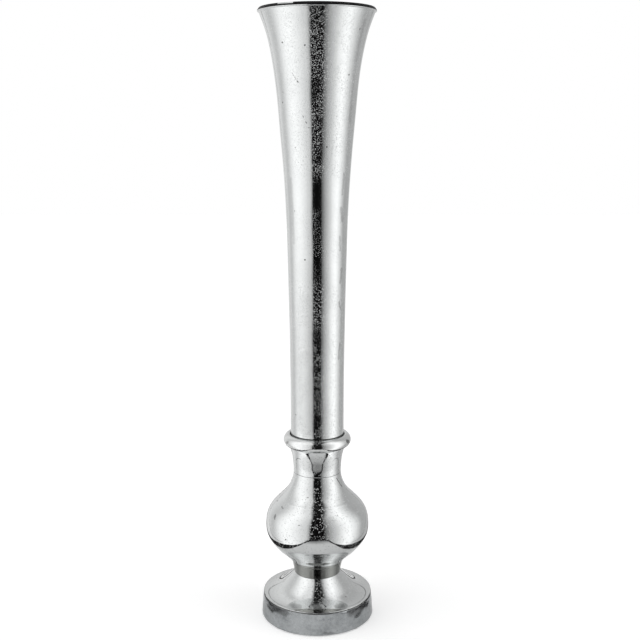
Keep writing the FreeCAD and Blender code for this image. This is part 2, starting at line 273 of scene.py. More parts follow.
def fair_curve(stations, count):
    """Smooth curve of (radius, height) rows through stations of (height, radius).

    Between two stations the radius is a cubic in the height. The cubics meet with equal
    slope and equal bend, and the bend is nil at both ends.
    """
    z, r = np.array(stations, float).T
    step = np.diff(z)
    slope = np.diff(r) / step
    system = np.eye(len(z))
    wanted = np.zeros(len(z))
    middle = np.arange(1, len(z) - 1)
    system[middle, middle - 1] = step[:-1]
    system[middle, middle] = 2 * (step[:-1] + step[1:])
    system[middle, middle + 1] = step[1:]
    wanted[middle] = 6 * np.diff(slope)
    bend = np.linalg.solve(system, wanted)
    height = np.linspace(z[0], z[-1], count)
    part = np.clip(np.searchsorted(z, height) - 1, 0, len(z) - 2)
    past, left, span = height - z[part], z[part + 1] - height, step[part]
    radius = (bend[part] * left ** 3 + bend[part + 1] * past ** 3) / (6 * span)
    radius += (r[part] / span - bend[part] * span / 6) * left
    radius += (r[part + 1] / span - bend[part + 1] * span / 6) * past
    return np.stack([radius, height], 1)


def bend_round(centre, radius, start, end, count):
    """Rows of (radius, height) on a circle's arc between two angles in degrees from level."""
    angle = np.radians(np.linspace(start, end, count))
    return np.stack([centre[0] + radius * np.cos(angle), centre[1] + radius * np.sin(angle)], 1)


def straight(start, end, count=2):
    """Evenly spaced rows of (radius, height) on a straight line."""
    return np.linspace(start, end, count)


def cast_waves(seed, depth, turns, rises):
    """Shallow unevenness of a casting's skin, as a function of the angle and the height.

    It is a sum of waves cos(m a + k z + phase). Each wave takes a whole number m of turns
    and a rise k per millimetre from the seed, and is the lower the shorter it is.
    """
    draw = np.random.default_rng(seed)
    m = draw.integers(turns[0], turns[1] + 1, wave_count)
    k = draw.uniform(rises[0], rises[1], wave_count) * draw.choice([-1, 1], wave_count)
    phase = draw.uniform(0, 2 * math.pi, wave_count)
    share = 1 / np.sqrt(m + np.abs(k) / rises[1] * turns[1])
    share *= depth / np.sqrt((share ** 2).sum() / 2)

    def height_at(angle, z):
        waves = np.cos(m * angle[..., None] + k * z[..., None] + phase)
        return (waves * share).sum(-1)

    return height_at


def ring_faces(steps, rows, columns):
    """Four-cornered faces all round, in so many steps from one row of points to the next."""
    i, j = np.meshgrid(np.arange(steps), np.arange(columns), indexing="ij")
    up, on = (i + 1) % rows, (j + 1) % columns
    quads = np.stack([i * columns + j, i * columns + on, up * columns + on, up * columns + j], -1)
    return quads.reshape(-1, 4)


def turned_piece(name, rows, columns, relief=None, relief_rows=None, sharp=edge_angle):
    """Closed ring of faces: point (i, j) is row i of the section, turned by 2 pi j / columns.

    The rows are (radius, height) in millimetres and run anticlockwise round the section, so
    that faces look outwards. On the rows that relief_rows marks, a point moves out along
    the section's normal by relief(angle, height).
    """
    rows = np.asarray(rows, float)
    angle = np.arange(columns) * (2 * math.pi / columns)
    radius = np.repeat(rows[:, :1], columns, 1)
    height = np.repeat(rows[:, 1:], columns, 1)
    if relief is not None:
        along = np.roll(rows, -1, 0) - np.roll(rows, 1, 0)
        normal = np.stack([along[:, 1], -along[:, 0]], 1)
        normal /= np.maximum(np.linalg.norm(normal, axis=1, keepdims=True), 1e-9)
        move = relief(np.repeat(angle[None, :], len(rows), 0), height) * relief_rows[:, None]
        radius = radius + normal[:, :1] * move
        height = height + normal[:, 1:] * move
    points = np.stack([radius * np.cos(angle), radius * np.sin(angle), height], -1) * mm
    return put_mesh(name, points, ring_faces(len(rows), len(rows), columns), sharp)


def put_mesh(name, points, quads, sharp):
    """Object at the origin from arrays of points and four-cornered faces, smooth but for its edges."""
    data = bpy.data.meshes.new(name)
    count = quads.size // 4
    data.vertices.add(points.size // 3)
    data.vertices.foreach_set("co", points.astype(np.float32).ravel())
    data.loops.add(quads.size)
    data.loops.foreach_set("vertex_index", quads.astype(np.int32).ravel())
    data.polygons.add(count)
    data.polygons.foreach_set("loop_start", np.arange(0, quads.size, 4, dtype=np.int32))
    data.polygons.foreach_set("loop_total", np.full(count, 4, np.int32))
    data.polygons.foreach_set("use_smooth", np.ones(count, bool))
    data.update(calc_edges=True)
    data.validate()
    data.set_sharp_from_angle(angle=math.radians(sharp))
    made = bpy.data.objects.new(name, data)
    bpy.context.scene.collection.objects.link(made)
    return made


def section(*parts, skinned=()):
    """Whole section from its parts' rows, and the marks that turned_piece takes, one a row.

    A mark is 1 on the parts that show the cast skin, given by number and eased at their
    ends, and 0 on the others.
    """
    rows = [np.asarray(part, float) for part in parts]
    marks = [np.zeros(len(part)) for part in rows]
    for number in skinned:
        share = np.linspace(0, 1, len(rows[number]))
        ease = np.clip(np.minimum(share, 1 - share) * ease_slope, 0, 1)
        marks[number] = ease * ease * (3 - 2 * ease)
    return np.concatenate(rows), np.concatenate(marks)


def group_shell(name, inputs, outputs):
    """Empty node group with number inputs and outputs, its tree, input node and output node."""
    group = bpy.data.node_groups.new(name, "ShaderNodeTree")
    for label, value in inputs:
        group.interface.new_socket(label, in_out="INPUT", socket_type="NodeSocketFloat").default_value = value
    for label in outputs:
        group.interface.new_socket(label, in_out="OUTPUT", socket_type="NodeSocketFloat")
    return group, group.nodes.new("NodeGroupInput"), group.nodes.new("NodeGroupOutput")


def give(group, given_out, **values):
    """Links the group's outputs of these names to their sockets."""
    for name, value in values.items():
        connect(group, given_out.inputs[name], value)


def noise(tree, place, scale, detail, **more):
    """Cloudy pattern with so many clouds a metre."""
    return add(tree, "TexNoise", Vector=place, Scale=scale, Detail=detail, **more).outputs[0]


def weighed(tree, first, share, second):
    """The first value at its share and the second at the rest."""
    return maths(tree, "ADD", maths(tree, "MULTIPLY", first, share),
                 maths(tree, "MULTIPLY", second, 1 - share))


grain_rise = 0.065
cover_scale = 34.0
cover_least = 0.25
pit_cells_from = 0.80
pit_radii = (0.05, 0.10)
streak_slant = (0.2, 0.5, 0.9)
streak_stretch = (14, 260, 14)
streak_from = 0.70
cloud_scale = 22.0
speck_scale = 240.0
cloud_dullness = 0.15


def casting_skin():
    """Group for the skin of a tumbled and polished casting. Height is in millimetres.

    Grain: small dull bumps where a noise stands above Grain Level, in clouds, thinned out by
    Grain Cover. Pits: round hollows in a few cells of a coarse cell pattern. Scratches: long
    thin streaks, slanting across. Tone is a cloudy change of colour with fine specks, and
    Dirt is what has settled in the pits.
    """
    group, given, given_out = group_shell(
        "casting_skin",
        [("Grain Scale", 640), ("Grain Height", 0.06), ("Grain Level", 0.585), ("Grain Cover", 1.0),
         ("Pit Scale", 60), ("Pit Depth", 0.1), ("Scratch Depth", 0.02)],
        ["Height", "Tone", "Dull", "Dirt"],
    )
    place = add(group, "TexCoord").outputs["Object"]
    grain = noise(group, place, given.outputs["Grain Scale"], 2.0, Roughness=0.6)
    cover = ramp(group, noise(group, place, cover_scale, 1.0), 0.30, 0.52, cover_least, 1.0)
    cover = maths(group, "MULTIPLY", given.outputs["Grain Cover"], cover)
    level = given.outputs["Grain Level"]
    tops = ramp(group, grain, level, maths(group, "ADD", level, grain_rise))
    tops = maths(group, "MULTIPLY", tops, cover)
    height = maths(group, "MULTIPLY", tops, given.outputs["Grain Height"])
    cells = add(group, "TexVoronoi", Vector=place, Scale=given.outputs["Pit Scale"], Randomness=1.0)
    chosen = add(group, "SeparateColor", Color=cells.outputs["Color"]).outputs[0]
    chosen = ramp(group, chosen, pit_cells_from, pit_cells_from + 0.04)
    pits = maths(group, "MULTIPLY", ramp(group, cells.outputs["Distance"], *pit_radii, 1.0, 0.0), chosen)
    height = maths(group, "SUBTRACT", height, maths(group, "MULTIPLY", pits, given.outputs["Pit Depth"]))
    slant = add(group, "Mapping", Vector=place, Rotation=streak_slant, Scale=streak_stretch)
    streaks = ramp(group, noise(group, slant.outputs[0], 1.0, 1.0), streak_from, streak_from + 0.06)
    streaks = maths(group, "MULTIPLY", streaks, given.outputs["Scratch Depth"])
    height = maths(group, "SUBTRACT", height, streaks)
    clouds = noise(group, place, cloud_scale, 4.0, Roughness=0.62)
    specks = noise(group, place, speck_scale, 2.0)
    tone = weighed(group, ramp(group, clouds, 0.3, 0.7), 0.6, ramp(group, specks, 0.3, 0.7))
    dull = maths(group, "MAXIMUM", maths(group, "MULTIPLY", ramp(group, clouds, 0.40, 0.75), cloud_dullness),
                 maths(group, "MULTIPLY", ramp(group, grain, 0.66, 0.72), cover))
    give(group, given_out, Height=height, Tone=tone, Dull=dull, Dirt=pits)
    return group


skin_group = casting_skin()
# Dark colour that the pits take, and the joint lines and patches of painted shade too.
dirt_and_shade_colour = (0.045, 0.043, 0.04, 1)
mark_wander = 3.0
wander_scale = 170.0
mark_core = 0.45
joint_core = 0.6
worn_core = 0.3


def skin_node(tree, group, **levels):
    """Node of a skin's group, its number inputs set or linked by name."""
    made = tree.nodes.new("ShaderNodeGroup")
    made.node_tree = group
    for name, value in levels.items():
        connect(tree, made.inputs[name.replace("_", " ")], value)
    return made


def tinted(tree, skin, light, dark):
    """Colour that goes from light to dark with the skin's tone."""
    return add(tree, "MixRGB", Fac=skin.outputs["Tone"], Color1=light + (1,), Color2=dark + (1,)).outputs[0]


def band(tree, level, height, half_width, core, middle, outside):
    """Band round the piece: middle within a core share of its half width, outside beyond it."""
    away = maths(tree, "ABSOLUTE", maths(tree, "SUBTRACT", level, height * mm))
    return ramp(tree, away, half_width * core * mm, half_width * mm, middle, outside)


def metal_shader(tree, output, skin, colour, dull, gloss, **more):
    """Metal raised by its skin. Gloss is the roughness of its clean and of its dull places."""
    relief = add(tree, "Bump", Distance=mm, Height=skin.outputs["Height"])
    shader = add(tree, "BsdfPrincipled", Base_Color=colour, Metallic=1.0, Normal=relief.outputs[0],
                 Roughness=ramp(tree, dull, 0.0, 1.0, gloss[0], gloss[1], False), **more)
    tree.links.new(shader.outputs[0], output.inputs["Surface"])


def vector_maths(tree, operation, *values):
    """One Vector Math node on up to three sockets or vectors."""
    made = add(tree, "VectorMath", operation=operation)
    for socket, value in zip(made.inputs, values):
        connect(tree, socket, value)
    return made


def polar(angle, radius, height):
    """Point in metres from an angle in degrees, a radius and a height in millimetres."""
    return (radius * math.cos(math.radians(angle)) * mm, radius * math.sin(math.radians(angle)) * mm,
            height * mm)


def mark(tree, place, start, end, width, strength):
    """Strength on the straight line between two points, falling to nil at a width from it.

    The nearest point lies at the share (place - start).(end - start) / |end - start|^2 of
    the line, kept between nil and one.
    """
    run = np.subtract(end, start)
    off = vector_maths(tree, "SUBTRACT", place, start).outputs[0]
    dot = vector_maths(tree, "DOT_PRODUCT", off, run / max(run @ run, 1e-12))
    share = maths(tree, "ADD", dot.outputs["Value"], 0.0, clamp=True)
    nearest = vector_maths(tree, "SCALE", run)
    connect(tree, nearest.inputs["Scale"], share)
    away = vector_maths(tree, "DISTANCE", off, nearest.outputs[0])
    return ramp(tree, away.outputs["Value"], width * mark_core * mm, width * mm, strength, 0.0)


def cast_metal(name, light, dark, gloss, grain, pits, scratches, joints=(), marks=(), worn=()):
    """Metal with a casting's skin. Gloss is the roughness of its clean and of its dull places.

    Grain is its number a metre, its height and its level, pits their number and depth. Joints are
    (height, half width) of lines of painted shade round the piece where it meets other parts, and
    marks are (start, end, width, strength) of single nicks, stains and patches of painted shade, with
    wandering edges. Worn are (height, half width, share) of bands where handling has rubbed the grain down to
    a share.
    """
    made, tree, output = new_material(name)
    skin = skin_node(tree, skin_group, Grain_Scale=grain[0], Grain_Height=grain[1], Grain_Level=grain[2],
                     Pit_Scale=pits[0], Pit_Depth=pits[1], Scratch_Depth=scratches)
    dirt_and_shade = skin.outputs["Dirt"]
    left = 1.0
    plain = add(tree, "TexCoord").outputs["Object"]
    level = add(tree, "SeparateXYZ", Vector=plain).outputs[2]
    for height, half_width in joints:
        line = band(tree, level, height, half_width, joint_core, 1.0, 0.0)
        dirt_and_shade = maths(tree, "MAXIMUM", dirt_and_shade, line)
    for height, half_width, share in worn:
        left = maths(tree, "MULTIPLY", left, band(tree, level, height, half_width, worn_core, share, 1.0))
    connect(tree, skin.inputs["Grain Cover"], left)
    if marks:
        wander = add(tree, "TexNoise", Vector=plain, Scale=wander_scale, Detail=3.0, Roughness=0.7)
        moved = add(tree, "MapRange", data_type="FLOAT_VECTOR")
        tree.links.new(wander.outputs["Color"], moved.inputs["Vector"])
        moved.inputs[9].default_value = (-mark_wander * mm,) * 3
        moved.inputs[10].default_value = (mark_wander * mm,) * 3
        place = vector_maths(tree, "ADD", plain, moved.outputs["Vector"]).outputs[0]
    for start, end, width, strength in marks:
        stain_and_shade = mark(tree, place, polar(*start), polar(*end), width, strength)
        dirt_and_shade = maths(tree, "MAXIMUM", dirt_and_shade, stain_and_shade)
    # The colour goes dark in the pits, along the joint lines of painted shade and in the patches.
    colour = add(tree, "MixRGB", Fac=dirt_and_shade, Color1=tinted(tree, skin, light, dark), Color2=dirt_and_shade_colour)
    dull = maths(tree, "MAXIMUM", skin.outputs["Dull"], dirt_and_shade)
    metal_shader(tree, output, skin, colour.outputs[0], dull, gloss)
    return made


side_rows = bend_round((plinth_foot_radius - 2.1, plinth_foot + 2.1), 2.1, -90, 4, 7)
side_rows = np.concatenate([side_rows, straight((plinth_foot_radius - 0.2, plinth_foot + 4.5),
                                                (plinth_head_radius + 0.1, plinth_head - 1.2), 30)])
plinth_rows, plinth_skin = section(
    side_rows,
    bend_round((plinth_head_radius - 0.9, plinth_head - 0.9), 0.9, 4, 90, 6),
    straight((78, plinth_head), (67.6, plinth_head)),
    straight((67.3, plinth_head + 0.3), (66.9, 41.0)),
    straight((7.2, 41.0), (6.8, 40.6)),
    straight((6.8, 26.6), (7.4, 26.0)),
    straight((23.0, 26.0), (24.0, 27.0)),
    bend_round((26.5, 27.5), 2.5, 180, 90, 5),
    bend_round((74.5, 27.0), 3.0, 90, 0, 6),
    straight((77.9, 25.0), (80.3, plinth_foot + 0.6), 8),
    straight((81.0, plinth_foot), (90.0, plinth_foot)),
    skinned=(0,),
)
plinth_waves = cast_waves(11, 0.16, (3, 26), (0.05, 0.45))
plinth_casting = turned_piece("plinth_casting", plinth_rows, plinth_columns, plinth_waves, plinth_skin)
plinth_stains_and_shade = (
    # The first two patches, under the rim at the left and right front, are painted shade; the rest are a nick
    # and stains.
    ((-141, 92, 37), (-126, 92, 34), 11.0, 0.45), ((-52, 92, 36), (-38, 92, 33), 13.0, 0.5),
    ((-84, 94.5, 7), (-74, 94.6, 5), 2.6, 0.35), ((60, 92.5, 30), (85, 93, 22), 12.0, 0.4),
    ((150, 92.5, 32), (170, 92.5, 24), 12.0, 0.4),
)
# The line round the plinth's top, under the dish's edge, is painted shade.
rough_metal = cast_metal("rough_cast_metal", (0.53, 0.55, 0.56), (0.30, 0.315, 0.325), (0.15, 0.34),
                         (700, 0.06, 0.585), (120, 0.2), 0.03, ((39.0, 0.8),), plinth_stains_and_shade)
plinth_casting.data.materials.append(rough_metal)
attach(plinth_casting, "pedestal")
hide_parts("plinth")

# ---------------------------------------------------------------- foot dish
# Thin concave flare, sand cast and polished on the outside. It stands on the plinth with a crisp,
# slightly broken edge, whose groove and a line of painted shade on both pieces make a fine dark joint line
# all round.
dish_foot = 39.0
dish_head = 75.0
dish_rim = 91.6
dish_flat = bend_round((95.8, 94.5), 54.0, -94.6, -130.0, 34)
dish_steep = bend_round((198.7, 217.0), 214.0, -130.0, -138.4, 24)[1:]
dish_hollow = bend_round((89.57, 95.68), 59.0, -152.0, -106.1, 20)
dish_columns = 288

dish_rows, dish_skin = section(
    bend_round((dish_rim - 0.85, dish_foot + 0.95), 0.85, -75, 80, 9),
    np.concatenate([dish_flat, dish_steep]),
    straight((30.5, dish_head), (30.15, dish_head - 0.4)),
    straight((30.15, 69.85), (7.2, 69.85)),
    straight((6.8, 69.5), (6.8, 68.3)),
    straight((7.2, 68.0), (36.0, 68.0)),
    dish_hollow,
    straight((74.0, dish_foot), (90.2, dish_foot)),
    skinned=(1,),
)
dish_waves = cast_waves(23, 0.05, (2, 9), (0.04, 0.16))
dish_casting = turned_piece("dish_casting", dish_rows, dish_columns, dish_waves, dish_skin)
pedestal_stains_and_shade = (
    ((-150, 80.9, 189), (-147, 81.3, 179), 3.4, 0.55), ((-148, 69, 203), (-143, 70, 201), 2.2, 0.4),
    ((-36, 40.2, 247), (-24, 45.5, 231), 1.5, 0.6), ((-24, 45.5, 231), (-15, 41, 243), 1.0, 0.5),
    ((-108.5, 50.2, 222.7), (-108, 50.2, 222), 1.1, 0.7), ((-63.3, 72.7, 198.4), (-63, 72.7, 198), 1.2, 0.7),
    ((-111.3, 81.1, 185.5), (-108, 81, 185.4), 1.2, 0.6), ((95, 80, 190), (103, 80, 186), 2.0, 0.5),
    # The three patches low on the dish's front are painted dark reflections, and the broad one across the
    # neck's front is painted shade.
    ((-119, 79, 41.5), (-112, 80, 41.2), 7.5, 0.34), ((-66, 79, 41.5), (-60, 80, 41.2), 7.0, 0.34),
    ((-93, 70, 43), (-87, 86, 41), 10.0, 0.62), ((-112, 43, 276), (-68, 43, 276), 20.0, 0.24),
)
# Its lines round at 39.1 and 253 mm are painted shade, where the dish meets the plinth and the neck meets the
# bulb.
pedestal_metal = cast_metal("pedestal_cast_metal", (0.65, 0.662, 0.66), (0.60, 0.612, 0.612), (0.05, 0.22),
                            (430, 0.17, 0.615), (60, 0.15), 0.02, ((39.1, 0.5), (253.0, 0.3)), pedestal_stains_and_shade)
dish_casting.data.materials.append(pedestal_metal)
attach(dish_casting, "pedestal")
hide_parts("foot_dish")

# ---------------------------------------------------------------- turned stem
# Short lathe-turned sleeve between the dish and the bulb. It is the one outside piece
# without a cast skin: fine tool rings run round it and draw its reflections out upright.
stem_foot = 75.0
stem_head = 100.0
stem_stations = (
    (75.0, 39.05), (80.0, 39.75), (84.0, 40.5), (88.0, 41.4), (92.0, 42.45), (95.0, 43.4), (96.0, 43.8),
    (97.0, 44.4), (98.0, 45.2), (100.0, 46.9),
)
stem_columns = 256


def tool_rings():
    """Group for a turned surface: rings round the upright axis, fine and uneven in depth."""
    group, given, given_out = group_shell(
        "tool_rings", [("Ring Scale", 2600), ("Ring Height", 0.004)], ["Height", "Tone", "Dull"])
    place = add(group, "TexCoord").outputs["Object"]
    parts = add(group, "SeparateXYZ", Vector=place)
    reach = maths(group, "SQRT", maths(group, "ADD", maths(group, "POWER", parts.outputs[0], 2.0),
                                       maths(group, "POWER", parts.outputs[1], 2.0)))
    across = add(group, "CombineXYZ", X=reach, Y=0.0, Z=parts.outputs[2])
    fine = noise(group, across.outputs[0], given.outputs["Ring Scale"], 2.0)
    broad = noise(group, across.outputs[0], 260.0, 1.0)
    rings = maths(group, "MULTIPLY", maths(group, "ADD", fine, broad), given.outputs["Ring Height"])
    stains = noise(group, place, 60.0, 4.0, Roughness=0.6)
    give(group, given_out, Height=rings, Tone=weighed(group, stains, 0.6, broad),
         Dull=ramp(group, stains, 0.4, 0.7))
    return group


rings_group = tool_rings()


def turned_metal(name, light, dark, gloss, rings, brushed=0.75):
    """Metal with tool rings. Rings are their number a metre and their height in millimetres.

    The rings are too fine to show one by one: they spread a reflection across themselves,
    upright on a sleeve, so the gloss is brushed round the axis.
    """
    made, tree, output = new_material(name)
    skin = skin_node(tree, rings_group, Ring_Scale=rings[0], Ring_Height=rings[1])
    round_axis = add(tree, "Tangent", direction_type="RADIAL", axis="Z")
    metal_shader(tree, output, skin, tinted(tree, skin, light, dark), skin.outputs["Dull"], gloss,
                 Anisotropic=brushed, Anisotropic_Rotation=0.25, Tangent=round_axis.outputs[0])
    return made


stem_rows, _ = section(
    straight((38.7, stem_foot), (39.05, stem_foot + 0.3)),
    fair_curve(stem_stations, 60)[1:-1],
    straight((46.8, stem_head - 0.1), (46.7, stem_head)),
    straight((38.0, stem_head), (38.0, stem_head + 4.6)),
    straight((37.6, stem_head + 5.0), (24.4, stem_head + 5.0)),
    straight((24.0, stem_head + 4.6), (24.0, stem_foot - 4.6)),
    straight((24.4, stem_foot - 5.0), (29.6, stem_foot - 5.0)),
    straight((30.0, stem_foot - 4.6), (30.0, stem_foot)),
)
stem_turning = turned_piece("stem_turning", stem_rows, stem_columns)
# Its metal is set at about half the brightness of the cast aluminium: painted shade that darkens the whole
# stem.
stem_metal_shaded = turned_metal("turned_metal", (0.335, 0.335, 0.324), (0.245, 0.249, 0.234), (0.06, 0.13),
                          (2600, 0.004), 0.3)
stem_turning.data.materials.append(stem_metal_shaded)
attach(stem_turning, "pedestal")
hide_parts("turned_stem")

# ---------------------------------------------------------------- bulb
# Round hollow casting, the widest part of the pedestal, drawn in above to the waist. A fine
# raised line runs round its shoulder where the two halves of the mould met.
pedestal_stations = (
    (100.0, 46.9), (104.0, 50.2), (108.0, 54.2), (118.0, 64.9), (132.0, 76.87), (148.0, 84.99),
    (164.0, 86.25), (180.0, 84.02), (194.0, 76.74), (208.0, 63.83), (222.0, 50.68), (236.0, 43.18),
    (245.0, 40.35), (253.0, 39.42), (262.0, 39.50), (272.0, 40.45), (286.0, 42.65), (297.8, 46.6),
)
waist = 253.0
waist_radius = 39.4
bulb_wall = 5.0
mould_line = 209.0
mould_line_height = 0.12
mould_line_width = 1.1
bulb_columns = 320


def line_round(height, rise, width):
    """Raised line round a casting: a bell curve of the height above or below it."""
    return lambda angle, z: rise * np.exp(-((z - height) / width) ** 2)


pedestal_side = fair_curve(pedestal_stations, 230)
bulb_side = pedestal_side[pedestal_side[:, 1] < waist - 0.6]
bulb_inner = pedestal_side[::-2] - (bulb_wall, 0)
bulb_inner = bulb_inner[(bulb_inner[:, 1] > 108) & (bulb_inner[:, 1] < waist - 1)]
bulb_rows, bulb_skin = section(
    straight((46.65, 100.0), (46.85, 100.1)),
    bulb_side[1:],
    straight((waist_radius - 0.1, waist - 0.3), (waist_radius - 0.45, waist)),
    straight((waist_radius - 4.6, waist), (waist_radius - 4.9, waist - 0.3)),
    bulb_inner,
    straight((50.0, 107.0), (7.0, 107.0)),
    straight((6.8, 106.7), (6.8, 105.4)),
    straight((7.1, 105.15), (38.15, 105.15)),
    straight((38.15, 104.8), (38.15, 100.4)),
    straight((38.5, 100.0), (40.0, 100.0)),
    skinned=(1,),
)
bulb_waves = cast_waves(37, 0.06, (2, 8), (0.03, 0.14))
bulb_line = line_round(mould_line, mould_line_height, mould_line_width)
bulb_casting = turned_piece("bulb_casting", bulb_rows, bulb_columns,
                            lambda a, z: bulb_waves(a, z) + bulb_line(a, z), bulb_skin)
bulb_casting.data.materials.append(pedestal_metal)
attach(bulb_casting, "pedestal")
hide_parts("bulb")

# ---------------------------------------------------------------- neck
# Sleeve that opens upward from the waist, with a flat deck inside its top, cast like the
# bulb. It sits in the bulb's mouth and shows a fine seam there, darkened by a line of painted shade.
neck_shoulder = 298.0
deck_top = 305.0
neck_bore = 30.0
neck_columns = 256

neck_side = pedestal_side[pedestal_side[:, 1] > waist + 0.6]
neck_rows, neck_skin = section(
    straight((waist_radius - 0.5, waist), (waist_radius - 0.1, waist + 0.35)),
    neck_side[:-1],
    straight((46.5, neck_shoulder - 0.1), (46.2, neck_shoulder)),
    straight((44.95, neck_shoulder), (44.95, deck_top - 0.3)),
    straight((44.65, deck_top), (7.2, deck_top)),
    straight((6.8, deck_top - 0.4), (6.8, 297.4)),
    straight((7.2, 297.0), (neck_bore - 0.4, 297.0)),
    straight((neck_bore, 296.6), (neck_bore, 246.4)),
    straight((neck_bore + 0.4, 246.0), (33.9, 246.0)),
    straight((34.25, 246.4), (34.25, waist - 0.1)),
    skinned=(1,),
)
neck_waves = cast_waves(41, 0.04, (2, 7), (0.04, 0.16))
neck_casting = turned_piece("neck_casting", neck_rows, neck_columns, neck_waves, neck_skin)
neck_casting.data.materials.append(pedestal_metal)
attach(neck_casting, "pedestal")
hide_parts("neck")

# ---------------------------------------------------------------- collar bead
# Half-round ring on the neck's shoulder, polished brighter than the castings, with a plain
# bore that leaves an open dark line round the trumpet, deepened by painted shadow on the tube.
collar_foot = 298.0
collar_section = 10.6
collar_bore = 45.1
collar_columns = 288

collar_middle = (collar_bore + 0.2, collar_foot + collar_section)
collar_crest = collar_foot + 2 * collar_section
collar_rows, collar_skin = section(
    bend_round(collar_middle, collar_section, -89, 76, 44),
    bend_round((collar_bore + 2.2, collar_crest - 2.5), 2.2, 76, 180, 9),
    straight((collar_bore, collar_crest - 4.0), (collar_bore, collar_foot + 0.3)),
    skinned=(0,),
)
collar_waves = cast_waves(53, 0.02, (2, 9), (0.05, 0.2))
collar_bead = turned_piece("collar_bead", collar_rows, collar_columns, collar_waves, collar_skin)
# The first two patches darken the bead's ends at the right and left front as painted dark reflections; the
# third is a stain at the back.
bead_stains_and_shade = (((-27, 55, 312), (-20, 55.5, 308), 4.2, 0.75), ((-150, 55.5, 311), (-157, 55.6, 308), 3.0, 0.4),
              ((80, 52, 316), (92, 53, 314), 2.0, 0.5))
bead_metal = cast_metal("bright_bead_metal", (0.68, 0.69, 0.685), (0.62, 0.63, 0.63), (0.05, 0.25),
                        (640, 0.06, 0.585), (60, 0.08), 0.02, (), bead_stains_and_shade)
collar_bead.data.materials.append(bead_metal)
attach(collar_bead, "pedestal")
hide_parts("collar_ring")

# ---------------------------------------------------------------- trumpet
# Long thin-walled casting, straight in the collar and then flaring ever faster to a lip with a
# bevelled top painted near black, a painted dark reflection. Polished outside, rougher and duller inside.
tube_foot = 306.7
tube_straight_to = 410.0
tube_radius = 43.9
trumpet_wall = 2.5
trumpet_stations = (
    (410.0, 43.90), (470.0, 44.70), (560.0, 46.56), (660.0, 48.77), (740.0, 52.57), (820.0, 58.98),
    (890.0, 65.60), (940.0, 73.60), (975.0, 83.15), (993.7, 90.4),
)
bevel_foot = 995.3
# Between these angles and above this height the lip stays bare metal, a gap in the painted dark reflection
# where a glint shows.
lip_glint_gap = (-131.0, -113.0)
lip_glint_gap_foot = 997.6
trumpet_columns = 208
inner_tube_rows = 20
foot_rows = 2

flare = fair_curve(trumpet_stations, 200)
inner_flare = fair_curve(trumpet_stations, 90)[::-1] - (trumpet_wall, 0)
inner_flare = inner_flare[inner_flare[:, 1] < 993.0]
trumpet_rows, trumpet_skin = section(
    straight((43.5, tube_foot), (43.8, tube_foot + 0.3)),
    np.concatenate([straight((tube_radius, tube_foot + 1), (tube_radius, tube_straight_to - 4), 24), flare]),
    [(91.4, 993.95), (92.1, 994.3), (92.5, 994.7), (92.6, 995.1)],
    straight((92.58, bevel_foot), (92.45, 996.4)),
    straight((92.0, 997.2), (90.2, 999.55), 4),
    [(89.9, 999.85), (89.6, 1000.0), (89.2, 999.9), (89.0, 999.5)],
    straight((88.95, 998.6), (88.9, bevel_foot)),
    inner_flare,
    straight((tube_radius - trumpet_wall, 400.0), (tube_radius - trumpet_wall, tube_foot + 0.4),
             inner_tube_rows),
    straight((41.7, tube_foot), (42.5, tube_foot), foot_rows),
    skinned=(1, 7),
)
trumpet_waves = cast_waves(67, 0.07, (2, 6), (0.015, 0.07))
trumpet_casting = turned_piece("trumpet_casting", trumpet_rows, trumpet_columns, trumpet_waves,
                               trumpet_skin)
trumpet_stains_and_shade = (
    ((-124, 67.3, 900.4), (-115.5, 65.0, 884.5), 0.9, 0.5),
    ((-117.4, 65.3, 887), (-116.8, 65.2, 886), 1.5, 0.8),
    ((-111.3, 60.4, 835.4), (-111, 60.4, 834), 1.1, 0.6), ((-107, 59.7, 827.9), (-106, 59.6, 826), 1.5, 0.6),
    ((-102.6, 58.9, 819), (-102, 58.9, 818), 1.1, 0.6), ((70, 60, 835), (82, 61, 845), 1.0, 0.5),
    ((140, 52, 720), (146, 52, 712), 1.6, 0.5), ((-37, 52.8, 748), (-40, 51.2, 716), 3.2, 0.24),
    ((-41, 50.4, 694), (-37, 49.6, 676), 4.6, 0.28), ((-43, 48.8, 650), (-40, 48.2, 628), 2.8, 0.26),
    ((-35, 47.0, 598), (-38, 46.6, 577), 3.8, 0.26), ((-41, 46.2, 545), (-36, 45.9, 534), 2.6, 0.32),
    ((-36, 44.9, 476), (-39, 44.5, 452), 3.2, 0.24),
    ((-141, 52.5, 740), (-139, 49, 640), 4.0, 0.14), ((-30, 84, 975), (-32, 62, 830), 7.0, 0.16),
    # The four long patches low on the tube's left, strongest at its foot and fading upward, are painted
    # shade.
    ((-114, 43.9, 340), (-114, 45, 455), 23.0, 0.23), ((-114, 43.9, 340), (-114, 46.2, 545), 24.0, 0.17),
    ((-114, 43.9, 340), (-114, 47.2, 600), 25.0, 0.11), ((-114, 43.9, 340), (-114, 48.8, 660), 26.0, 0.05),
)
worn_bands = ((716.0, 42.0, 0.12), (655.0, 42.0, 0.45), (600.0, 36.0, 0.35))
# The dark line round the tube at 319.7 mm, just above the bead's crest, is the bead gap's shadow painted on
# the tube.
satin_metal = cast_metal("satin_cast_metal", (0.65, 0.662, 0.66), (0.60, 0.612, 0.612), (0.05, 0.22),
                         (640, 0.12, 0.585), (60, 0.15), 0.02, ((319.7, 1.0),), trumpet_stains_and_shade, worn_bands)
inside_metal = cast_metal("inside_metal", (0.46, 0.465, 0.46), (0.30, 0.305, 0.30), (0.28, 0.55),
                          (300, 0.2, 0.585), (80, 0.2), 0.03)
